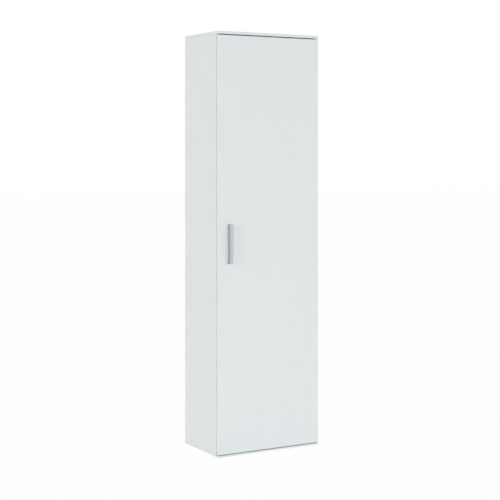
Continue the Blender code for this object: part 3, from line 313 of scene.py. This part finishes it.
def new_surface(name, colour, roughness, metallic=0.0):
    """A material with its node tree and Principled shader, in one even colour and gloss."""
    material = bpy.data.materials.new(name)
    material.use_nodes = True
    tree = material.node_tree
    shader = tree.nodes["Principled BSDF"]
    shader.inputs["Base Color"].default_value = (*colour, 1)
    shader.inputs["Roughness"].default_value = roughness
    shader.inputs["Metallic"].default_value = metallic
    material.diffuse_color = (*colour, 1)
    return material, tree, shader


def place_of(tree):
    return add_node(tree, "TexCoord").outputs["Object"]


def pattern(tree, place, spacing, detail=2.0, roughness=0.5):
    """Soft noise with about one bump in each spacing."""
    inputs = {"Vector": place, "Scale": 1 / spacing, "Detail": detail, "Roughness": roughness}
    return add_node(tree, "TexNoise", inputs).outputs["Fac"]


def spread(tree, value, low, high):
    """Takes soft noise from the part of its range that it keeps to, to a range of its own."""
    inputs = {
        "Value": value, "From Min": NOISE_LOW, "From Max": NOISE_HIGH, "To Min": low, "To Max": high,
    }
    return add_node(tree, "MapRange", inputs).outputs["Result"]


def blend(tree, share, first, second):
    """A value between two, each a number or another node's output."""
    return add_node(tree, "Mix", {0: share, 2: first, 3: second}).outputs[0]


def tint(tree, share, first, second):
    """A colour between two, each linear or another node's output."""
    inputs = {0: share}
    for socket, colour in ((6, first), (7, second)):
        inputs[socket] = colour if isinstance(colour, bpy.types.NodeSocket) else (*colour, 1)
    return add_node(tree, "Mix", inputs, data_type="RGBA").outputs[2]


def relief(tree, shader, height, depth):
    """Raises the surface by a pattern, to a real depth."""
    node = add_node(tree, "Bump", {"Height": height, "Strength": 1.0, "Distance": depth})
    tree.links.new(node.outputs["Normal"], shader.inputs["Normal"])


def shade(colour, share):
    return tuple(part * share for part in colour)


def facing(tree, axis):
    """How squarely the surface faces along an axis of its object, from -1 to 1."""
    normal = add_node(tree, "TexCoord").outputs["Normal"]
    return add_node(tree, "SeparateXYZ", {"Vector": normal}).outputs[axis]


def facing_either_way(tree, axis):
    """How squarely the surface faces along an axis of its object or against it, from 0 to 1."""
    return add_node(tree, "Math", {0: facing(tree, axis)}, operation="ABSOLUTE").outputs[0]


def above(tree, value, limit):
    return add_node(tree, "Math", {0: value, 1: limit}, operation="GREATER_THAN").outputs[0]


def larger(tree, first, second):
    return add_node(tree, "Math", {0: first, 1: second}, operation="MAXIMUM").outputs[0]


def melamine_board(name, thin_axis, tape):
    """White melamine-faced chipboard.  The face is paper set in resin against a finely pebbled plate, so
    it is satin and breaks up what it mirrors.  The edges wear a smoother plastic tape, a shade off the
    face; the tape passed in for the sides is whiter, painted light that lifts the shade in the gap
    behind the door.  Edges turned to the wall are left raw, with the pressed flakes showing.  The door,
    which is the board that is thin along Y, has tape all round."""
    colours = finishes()
    size = sizes()
    material, tree, shader = new_surface(name, colours.board, roughness=0.42)
    place = place_of(tree)
    pebble = pattern(tree, place, size.pebble, detail=3.0)
    cloud = pattern(tree, place, BOARD_CLOUD, detail=1.0)
    face = tint(tree, cloud, *(shade(colours.board, share) for share in BOARD_TONES))
    is_face = above(tree, facing_either_way(tree, thin_axis), BOARD_FACING)
    colour = tint(tree, is_face, tape, face)
    rough = blend(tree, is_face, TAPE_ROUGHNESS, spread(tree, pebble, *BOARD_ROUGHNESS))
    if thin_axis != "Y":
        inputs = {"Vector": place, "Scale": 1 / size.flake, "Randomness": 1.0}
        flakes = add_node(tree, "TexVoronoi", inputs).outputs["Color"]
        flake_tone = add_node(tree, "SeparateColor", {0: flakes}).outputs[0]
        chips = tint(tree, flake_tone, colours.chip_dark, colours.chip_light)
        is_raw = above(tree, facing(tree, "Y"), BOARD_FACING)
        colour = tint(tree, is_raw, colour, chips)
        rough = blend(tree, is_raw, rough, CHIP_ROUGHNESS)
    tree.links.new(colour, shader.inputs["Base Color"])
    tree.links.new(rough, shader.inputs["Roughness"])
    relief(tree, shader, pebble, PEBBLE_DEPTH)
    return material


def hardboard_back():
    """A 3 mm hardboard back: roller-lacquered white inside with a fine stipple, raw brown fibres behind."""
    colours = finishes()
    material, tree, shader = new_surface("lacquered_hardboard", colours.lacquer, roughness=0.5)
    place = place_of(tree)
    stipple = pattern(tree, place, sizes().stipple, detail=2.0)
    fibres = pattern(tree, place, BACK_FIBRE, detail=6.0, roughness=0.7)
    clouds = pattern(tree, place, BACK_CLOUD, detail=3.0)
    mottling = blend(tree, BACK_CLOUD_SHARE, fibres, clouds)
    browns = (shade(colours.hardboard, share) for share in RAW_BACK_TONES)
    raw = tint(tree, spread(tree, mottling, 0, 1), *browns)
    inside = tint(tree, clouds, shade(colours.lacquer, LACQUER_TONE), colours.lacquer)
    is_rear = above(tree, facing(tree, "Y"), BACK_FACING)
    colour = tint(tree, is_rear, inside, raw)
    rough = blend(tree, is_rear, spread(tree, stipple, *LACQUER_ROUGHNESS), RAW_BACK_ROUGHNESS)
    tree.links.new(colour, shader.inputs["Base Color"])
    tree.links.new(rough, shader.inputs["Roughness"])
    relief(tree, shader, stipple, STIPPLE_DEPTH)
    return material


def satin_metal():
    """Die-cast zinc with satin nickel, brushed along its length.  The narrow sides get less of the brush and
    are painted greyer, as painted shade along the handle's flanks.  The faces turned to the door are out of
    the brush's reach and stay dull, and are painted dark: painted shade that deepens the shade behind the
    bow."""
    colours = finishes()
    material, tree, shader = new_surface("satin_nickel", colours.satin_metal, roughness=0.36, metallic=1.0)
    inputs = {"Vector": place_of(tree), "Scale": (1, 1, 1 / BRUSH_STRETCH)}
    stretched = add_node(tree, "Mapping", inputs).outputs[0]
    marks = pattern(tree, stretched, sizes().brush, detail=3.0)
    brushed = tint(tree, marks, shade(colours.satin_metal, BRUSHED_TONE), colours.satin_metal)
    # Painted shade: the faces turned to the door get the dark inner colour, and the narrow sides the greyer
    # side colour.
    is_inner_dull_and_shaded = above(tree, facing(tree, "Y"), HANDLE_INNER_FACING)
    is_side_painted_shade = above(tree, facing_either_way(tree, "X"), HANDLE_SIDE_FACING)
    brushed_and_side_shade = tint(tree, is_side_painted_shade, brushed, colours.side_metal_painted_shade)
    colour = tint(tree, is_inner_dull_and_shaded, brushed_and_side_shade, colours.inner_metal_painted_shade)
    rough = blend(tree, is_inner_dull_and_shaded, spread(tree, marks, *BRUSHED_ROUGHNESS), DULL_ROUGHNESS)
    tree.links.new(colour, shader.inputs["Base Color"])
    tree.links.new(rough, shader.inputs["Roughness"])
    relief(tree, shader, marks, BRUSH_DEPTH)
    return material


def plated_metal(name, colour, roughness, grain, depth):
    """Plated or raw metal whose gloss and tone drift a little with its grain, made when first asked for."""
    if name in bpy.data.materials:
        return bpy.data.materials[name]
    material, tree, shader = new_surface(name, colour, roughness, metallic=1.0)
    place = place_of(tree)
    fine = pattern(tree, place, grain, detail=3.0)
    drift = pattern(tree, place, METAL_DRIFT_GRAINS * grain, detail=2.0)
    toned = tint(tree, drift, shade(colour, METAL_TONE), colour)
    rough = spread(tree, fine, *(roughness * share for share in METAL_ROUGHNESS_SHARES))
    tree.links.new(toned, shader.inputs["Base Color"])
    tree.links.new(rough, shader.inputs["Roughness"])
    relief(tree, shader, fine, depth)
    return material


def moulded(name, colour, roughness):
    """Moulded plastic: an even colour with the faint orange peel of the mould."""
    material, tree, shader = new_surface(name, colour, roughness)
    place = place_of(tree)
    peel = pattern(tree, place, MOULD_PEEL, detail=2.0)
    toned = tint(tree, pattern(tree, place, PLASTIC_CLOUD), shade(colour, PLASTIC_TONE), colour)
    rough = spread(tree, peel, *(roughness + step for step in PLASTIC_ROUGHNESS_STEPS))
    tree.links.new(toned, shader.inputs["Base Color"])
    tree.links.new(rough, shader.inputs["Roughness"])
    relief(tree, shader, peel, PEEL_DEPTH)
    return material


def nickel():
    """Nickel-plated pressed steel: warm, bright, with a soft sheen from the rolled sheet."""
    return plated_metal("nickel_plate", finishes().nickel, roughness=0.24, grain=0.9 * MM, depth=0.001 * MM)


def chrome():
    """Chrome-plated steel tube: close to a mirror."""
    return plated_metal("chrome_plate", finishes().chrome, roughness=0.09, grain=3 * MM, depth=0.002 * MM)


def raw_zinc():
    """Raw die-cast zinc: grey, with the grain of the casting."""
    return plated_metal("cast_zinc", finishes().zinc, roughness=0.44, grain=sizes().grain, depth=0.02 * MM)


def zinc_steel():
    """Steel with bright passivated zinc: pale, with slight blotches."""
    return plated_metal("zinc_steel", finishes().steel, roughness=0.33, grain=0.7 * MM, depth=0.006 * MM)


def give(material, *names):
    """Puts a finish on shown CAD pieces."""
    for name in names:
        NODES[name].material_slots[0].material = material


def make_piece(name, bm, material, body, slot, *replaced):
    """A finished piece from a bmesh, riding on a body, in place of the CAD pieces named."""
    mesh = bpy.data.meshes.new(name)
    bm.to_mesh(mesh)
    bm.free()
    mesh.materials.append(material)
    mesh.shade_smooth()
    mesh.set_sharp_from_angle(angle=SMOOTH_ANGLE)
    piece = bpy.data.objects.new(name, mesh)
    bpy.context.scene.collection.objects.link(piece)
    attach(piece, body)
    if replaced:
        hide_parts(*replaced)


def bevel(bm, edges, width, segments):
    bmesh.ops.bevel(
        bm,
        geom=edges,
        offset=width,
        offset_type="OFFSET",
        segments=segments,
        profile=0.5,
        affect="EDGES",
        clamp_overlap=True,
        material=-1,
    )


def sharp_edges(bm):
    return [edge for edge in bm.edges if edge.is_manifold and edge.calc_face_angle() > SHARP_ANGLE]


def softened(node, width, segments=2):
    """A CAD piece's shape with its facets joined and its sharp edges rounded."""
    bm = bmesh.new()
    bm.from_mesh(NODES[node].data)
    bmesh.ops.remove_doubles(bm, verts=bm.verts, dist=WELD)
    bmesh.ops.dissolve_limit(bm, angle_limit=FLAT_ANGLE, verts=bm.verts, edges=bm.edges)
    bevel(bm, sharp_edges(bm), width, segments)
    return bm


def middle(node):
    low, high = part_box(node)
    return (Vector(low) + Vector(high)) / 2


class Piece:
    """What every operator here shares: it runs from the panel or a script, and can be undone."""

    bl_options = {"REGISTER", "UNDO"}


class WARDROBE_OT_boards(Piece, bpy.types.Operator):
    """Faces the sides, top, base, shelf and door with white melamine"""

    bl_idname = "wardrobe.boards"
    bl_label = "Boards"

    def execute(self, context):
        tape = finishes().edge_tape
        # The sides get the whiter tape, which is painted light in the gap behind the door.
        give(melamine_board("melamine_upright", "X", finishes().side_tape_painted_light), "side_left", "side_right")
        give(melamine_board("melamine_flat", "Z", tape), "top_panel", "base_panel", "hat_shelf")
        give(melamine_board("melamine_door", "Y", tape), "door")
        return {"FINISHED"}


class WARDROBE_OT_back(Piece, bpy.types.Operator):
    """Lacquers the hardboard back inside and leaves it raw behind"""

    bl_idname = "wardrobe.back"
    bl_label = "Back"

    def execute(self, context):
        give(hardboard_back(), "back_panel")
        return {"FINISHED"}


class WARDROBE_OT_handle(Piece, bpy.types.Operator):
    """Rounds and brushes the bow handle"""

    bl_idname = "wardrobe.handle"
    bl_label = "Handle"

    def execute(self, context):
        bm = softened("handle", sizes().handle_rounding, segments=3)
        make_piece("handle_bow", bm, satin_metal(), LEAF, "handle_satin", "handle")
        return {"FINISHED"}


class WARDROBE_OT_hinges(Piece, bpy.types.Operator):
    """Presses and plates the cup hinges"""

    bl_idname = "wardrobe.hinges"
    bl_label = "Hinges"

    def execute(self, context):
        rounding = sizes().pressed_rounding
        for number in HINGE_NUMBERS:
            for kind, body in (("cup", LEAF), ("arm", CARCASS), ("plate", CARCASS)):
                node = f"hinge_{kind}_{number}"
                bm = softened(node, rounding)
                make_piece(f"{kind}_{number}", bm, nickel(), body, "hinge_nickel", node)
        give(zinc_steel(), *(f"hinge_pin_{number}" for number in HINGE_NUMBERS))
        return {"FINISHED"}


class WARDROBE_OT_rail(Piece, bpy.types.Operator):
    """Chromes the hanging rail and finishes its cast brackets"""

    bl_idname = "wardrobe.rail"
    bl_label = "Hanging rail"

    def execute(self, context):
        bm = softened("hanging_rail", sizes().tube_rounding, segments=1)
        make_piece("oval_rail", bm, chrome(), CARCASS, "rail_chrome", "hanging_rail")
        for end in ("front", "back"):
            node = "rail_bracket_" + end
            bm = softened(node, sizes().cast_rounding)
            make_piece("rail_socket_" + end, bm, raw_zinc(), CARCASS, "cast_zinc", node)
        return {"FINISHED"}


class WARDROBE_OT_cams(Piece, bpy.types.Operator):
    """Finishes the cam locks and their bolts"""

    bl_idname = "wardrobe.cams"
    bl_label = "Cam fittings"

    def execute(self, context):
        for end in ("top", "base"):
            for corner in CORNERS:
                node = f"cam_{end}_{corner}"
                bm = softened(node, sizes().cam_rounding)
                make_piece(f"cam_lock_{end}_{corner}", bm, raw_zinc(), CARCASS, "cast_zinc", node)
                give(zinc_steel(), f"cam_bolt_{end}_{corner}")
        return {"FINISHED"}


class WARDROBE_OT_small_parts(Piece, bpy.types.Operator):
    """Finishes the shelf pins, glides, bumpers and wall bracket"""

    bl_idname = "wardrobe.small_parts"
    bl_label = "Pins, glides, bumpers, bracket"

    def execute(self, context):
        colours = finishes()
        for corner in CORNERS:
            node = "shelf_pin_" + corner
            bm = softened(node, sizes().cast_rounding)
            make_piece("shelf_peg_" + corner, bm, zinc_steel(), CARCASS, "bolt_steel", node)
        plastic = moulded("white_polythene", colours.plastic, roughness=0.45)
        give(plastic, *("glide_" + corner for corner in CORNERS))
        silicone = moulded("clear_silicone", colours.silicone, roughness=0.3)
        shader = silicone.node_tree.nodes["Principled BSDF"]
        shader.inputs["Transmission Weight"].default_value = SILICONE_CLEARNESS
        give(silicone, "door_bumper_lower", "door_bumper_upper")
        bm = softened("wall_bracket", sizes().angle_rounding)
        make_piece("wall_angle", bm, zinc_steel(), CARCASS, "bracket_zinc", "wall_bracket")
        return {"FINISHED"}


def screw(share, place, direction):
    """A pan-headed screw's head with a cross cut into it, standing on a face at a place."""
    size = sizes()
    radius = size.screw_head * share
    height = size.screw_height * share
    reach = size.screw_cross * share
    half = reach * CROSS_ARM
    bm = bmesh.new()
    bmesh.ops.create_cone(
        bm, cap_ends=True, segments=SCREW_SIDES, radius1=radius, radius2=radius * HEAD_TAPER,
        depth=height, matrix=Matrix.Translation((0, 0, height / 2)),
    )
    top = max(bm.faces, key=lambda face: face.calc_center_median().z)
    bevel(bm, list(top.edges), height * HEAD_ROUNDING, segments=2)
    level = max(vert.co.z for vert in bm.verts)
    for axis in (Vector((1, 0, 0)), Vector((0, 1, 0))):
        for offset in (-reach, -half, half, reach):
            flat = [face for face in bm.faces if face.calc_center_median().z > level - WELD]
            edges = {edge for face in flat for edge in face.edges}
            corners = {vert for face in flat for vert in face.verts}
            geom = [*flat, *edges, *corners]
            bmesh.ops.bisect_plane(bm, geom=geom, plane_co=axis * offset, plane_no=axis)
    cross = []
    for face in bm.faces:
        centre = face.calc_center_median()
        narrow, wide = sorted((abs(centre.x), abs(centre.y)))
        if centre.z > level - WELD and narrow < half and wide < reach:
            cross.append(face)
    made = bmesh.ops.extrude_face_region(bm, geom=cross)["geom"]
    verts = [item for item in made if isinstance(item, bmesh.types.BMVert)]
    bmesh.ops.translate(bm, vec=(0, 0, -height * CROSS_DEPTH), verts=verts)
    bmesh.ops.scale(bm, vec=(CROSS_TAPER, CROSS_TAPER, 1), verts=verts)
    bmesh.ops.delete(bm, geom=cross, context="FACES")
    bmesh.ops.recalc_face_normals(bm, faces=bm.faces)
    bmesh.ops.transform(bm, matrix=Matrix.Translation(place) @ POINTING[direction], verts=bm.verts)
    return bm


def join(shapes):
    """Several bmeshes as one."""
    whole = bmesh.new()
    for shape in shapes:
        mesh = bpy.data.meshes.new("part")
        shape.to_mesh(mesh)
        shape.free()
        whole.from_mesh(mesh)
        bpy.data.meshes.remove(mesh)
    return whole


class WARDROBE_OT_screws(Piece, bpy.types.Operator):
    """Puts cross-headed screws in the hinges and brackets"""

    bl_idname = "wardrobe.screws"
    bl_label = "Screws"

    def execute(self, context):
        for number in HINGE_NUMBERS:
            self.cup_screws(number)
            self.plate_screws(number)
        for end in ("front", "back"):
            node = "rail_bracket_" + end
            centre = middle(node)
            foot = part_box(node)[1][2] - RAIL_FOOT_SHEET
            shapes = [
                screw(RAIL_SCREW_SHARE, (centre.x + side * RAIL_SCREW_SPACING / 2, centre.y, foot), "-z")
                for side in (-1, 1)
            ]
            make_piece("socket_screws_" + end, join(shapes), zinc_steel(), CARCASS, "bolt_steel")
        low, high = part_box("wall_bracket")
        place = (middle("wall_bracket").x, low[1] + ANGLE_SCREW_LINE, high[2] - ANGLE_SHEET)
        bm = screw(ANGLE_SCREW_SHARE, place, "-z")
        make_piece("angle_screw", bm, zinc_steel(), CARCASS, "bolt_steel")
        return {"FINISHED"}

    def cup_screws(self, number):
        """One screw in each wing of a hinge cup, in the door."""
        node = f"hinge_cup_{number}"
        centre = middle(node)
        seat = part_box(node)[1][1] - HEAD_SINK
        shapes = [
            screw(1, (centre.x, seat, centre.z + side * CUP_SCREW_SPACING / 2), "+y") for side in (-1, 1)
        ]
        make_piece(f"cup_screws_{number}", join(shapes), zinc_steel(), LEAF, "bolt_steel")

    def plate_screws(self, number):
        """Two screws in a mounting plate's wings, and the two adjusters in the arm over it."""
        low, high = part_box(f"hinge_plate_{number}")
        height = middle(f"hinge_plate_{number}").z
        seat = high[0] - PLATE_SHEET
        line = low[1] + PLATE_SCREW_LINE
        shapes = [
            screw(1, (seat, line, height + side * PLATE_SCREW_SPACING / 2), "-x") for side in (-1, 1)
        ]
        low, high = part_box(f"hinge_arm_{number}")
        shapes += [
            screw(ADJUSTER_SHARE, (low[0] + ADJUSTER_DEPTH, high[1] - from_end, height), "-x")
            for from_end in (FRONT_ADJUSTER, REAR_ADJUSTER)
        ]
        make_piece(f"plate_screws_{number}", join(shapes), zinc_steel(), CARCASS, "bolt_steel")


def seen_directly(tree):
    """1 where the camera sees something itself, in a shiny surface or through a clear one, else 0."""
    rays = add_node(tree, "LightPath").outputs
    either = larger(tree, rays["Is Camera Ray"], rays["Is Glossy Ray"])
    return larger(tree, either, rays["Is Transmission Ray"])


class WARDROBE_OT_studio(Piece, bpy.types.Operator):
    """Sets the floor, the light and the camera"""

    bl_idname = "wardrobe.studio"
    bl_label = "Studio"

    def execute(self, context):
        scene = context.scene
        scene.view_settings.view_transform = "Standard"
        self.make_floor(scene)
        self.make_world(scene)
        self.make_lamps(scene)
        self.make_camera(scene)
        return {"FINISHED"}

    def make_floor(self, scene):
        """A pale floor that the camera sees as white, with a trace of the cabinet's shadow."""
        bm = bmesh.new()
        bmesh.ops.create_grid(bm, x_segments=1, y_segments=1, size=FLOOR_HALF_SIZE)
        mesh = bpy.data.meshes.new("studio_floor")
        bm.to_mesh(mesh)
        bm.free()
        floor = bpy.data.objects.new("studio_floor", mesh)
        scene.collection.objects.link(floor)
        material, tree, shader = new_surface("pale_floor", studio().floor, FLOOR_ROUGHNESS)
        shader.inputs["Specular IOR Level"].default_value = 0
        white = add_node(tree, "Emission", {"Color": WHITE, "Strength": 1.0})
        share = add_node(
            tree, "Math", {0: seen_directly(tree), 1: 1 - studio().floor_shadow}, operation="MULTIPLY"
        )
        mixed = add_node(
            tree,
            "MixShader",
            {0: share.outputs[0], 1: shader.outputs["BSDF"], 2: white.outputs["Emission"]},
        )
        tree.links.new(mixed.outputs[0], tree.nodes["Material Output"].inputs["Surface"])
        mesh.materials.append(material)

    def make_world(self, scene):
        """Even light from all round, and a white background."""
        world = bpy.data.worlds.new("studio")
        world.use_nodes = True
        tree = world.node_tree
        room = tree.nodes["Background"]
        room.inputs["Color"].default_value = WHITE
        room.inputs["Strength"].default_value = studio().room_light
        white = add_node(tree, "Background", {"Color": WHITE, "Strength": 1.0})
        mixed = add_node(
            tree,
            "MixShader",
            {0: seen_directly(tree), 1: room.outputs[0], 2: white.outputs[0]},
        )
        tree.links.new(mixed.outputs[0], tree.nodes["World Output"].inputs["Surface"])
        scene.world = world

    def make_lamps(self, scene):
        """Soft lamps on every side and overhead, and a weak one low in front."""
        settings = studio()
        for side in ("key", "left", "right", "rear", "top"):
            strength = getattr(settings, side + "_light")
            direction = getattr(settings, side + "_from")
            self.add_lamp(scene, side + "_light", "SUN", strength, direction)
        low_target = Vector((0, 0, CAD_BOX[1][2] * LOW_TARGET_SHARE))
        low_direction = Vector(settings.low_place) - low_target
        low = self.add_lamp(scene, "low_light", "AREA", settings.low_light, low_direction)
        low.data.size = settings.low_size
        low.location = settings.low_place

    def add_lamp(self, scene, name, kind, strength, direction):
        """A lamp that shines from a direction and isn't seen itself."""
        data = bpy.data.lights.new(name, kind)
        data.energy = strength
        if kind == "SUN":
            data.angle = SOFT_SHADOW_ANGLE
        lamp = bpy.data.objects.new(name, data)
        lamp.rotation_euler = Vector(direction).to_track_quat("Z", "Y").to_euler()
        lamp.visible_camera = False
        lamp.visible_glossy = False
        scene.collection.objects.link(lamp)
        return lamp

    def make_camera(self, scene):
        settings = studio()
        data = bpy.data.cameras.new("camera")
        data.sensor_width = FRAME_WIDTH
        data.lens = settings.lens
        data.shift_y = settings.shift
        camera = bpy.data.objects.new("camera", data)
        camera.location = settings.camera_place
        camera.rotation_euler = (math.radians(90), 0, -settings.camera_turn)
        scene.collection.objects.link(camera)
        scene.camera = camera


class WARDROBE_PT_panel(bpy.types.Panel):
    """Lists the steps that dress the wardrobe"""

    bl_label = "Tall Wardrobe"
    bl_idname = "WARDROBE_PT_panel"
    bl_space_type = "VIEW_3D"
    bl_region_type = "UI"
    bl_category = "Wardrobe"

    def draw(self, context):
        column = self.layout.column()
        for operator in OPERATORS:
            column.operator(operator.bl_idname)


OPERATORS = (
    WARDROBE_OT_boards,
    WARDROBE_OT_back,
    WARDROBE_OT_handle,
    WARDROBE_OT_hinges,
    WARDROBE_OT_rail,
    WARDROBE_OT_cams,
    WARDROBE_OT_small_parts,
    WARDROBE_OT_screws,
    WARDROBE_OT_studio,
)
GROUPS = {
    "wardrobe_finishes": WardrobeFinishes,
    "wardrobe_sizes": WardrobeSizes,
    "wardrobe_studio": WardrobeStudio,
}


def register():
    for cls in (*GROUPS.values(), *OPERATORS, WARDROBE_PT_panel):
        bpy.utils.register_class(cls)
    for name, group in GROUPS.items():
        setattr(bpy.types.Scene, name, PointerProperty(type=group))


def unregister():
    for name in GROUPS:
        delattr(bpy.types.Scene, name)
    for cls in (WARDROBE_PT_panel, *reversed(OPERATORS), *GROUPS.values()):
        bpy.utils.unregister_class(cls)


def main():
    register()
    for operator in OPERATORS:
        getattr(bpy.ops.wardrobe, operator.bl_idname.split(".")[1])()


if __name__ == "__main__":
    main()
